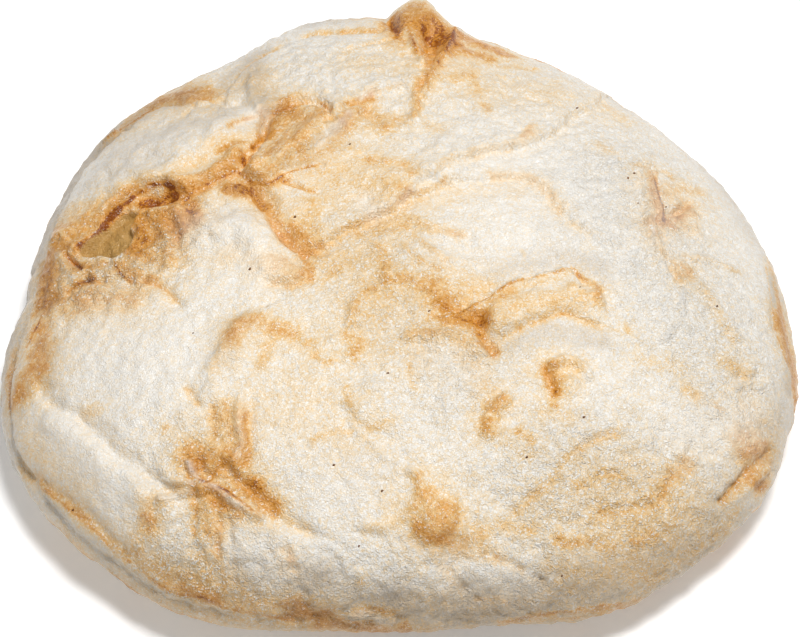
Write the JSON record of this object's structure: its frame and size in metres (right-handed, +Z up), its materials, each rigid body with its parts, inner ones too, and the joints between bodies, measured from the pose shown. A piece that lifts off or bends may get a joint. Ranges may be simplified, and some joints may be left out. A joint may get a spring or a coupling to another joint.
{
  "type": "flatbread",
  "caption": "Round puffed flatbread with a wrinkled, blistered top skin, a pinched knob at the rim and a small tear, lying flat as food.",
  "frame": {"origin": "middle of the footprint, on the plane of the flat underside", "axes": "+Z up through the dome, +Y towards the edge with the pinched knob, +X to the right of it seen from above"},
  "size_m": [0.2016, 0.196, 0.0474],
  "materials": {
    "crust": "matte"
  },
  "bodies": {
    "root": {"flatbread": "crust"}
  },
  "joints": []
}
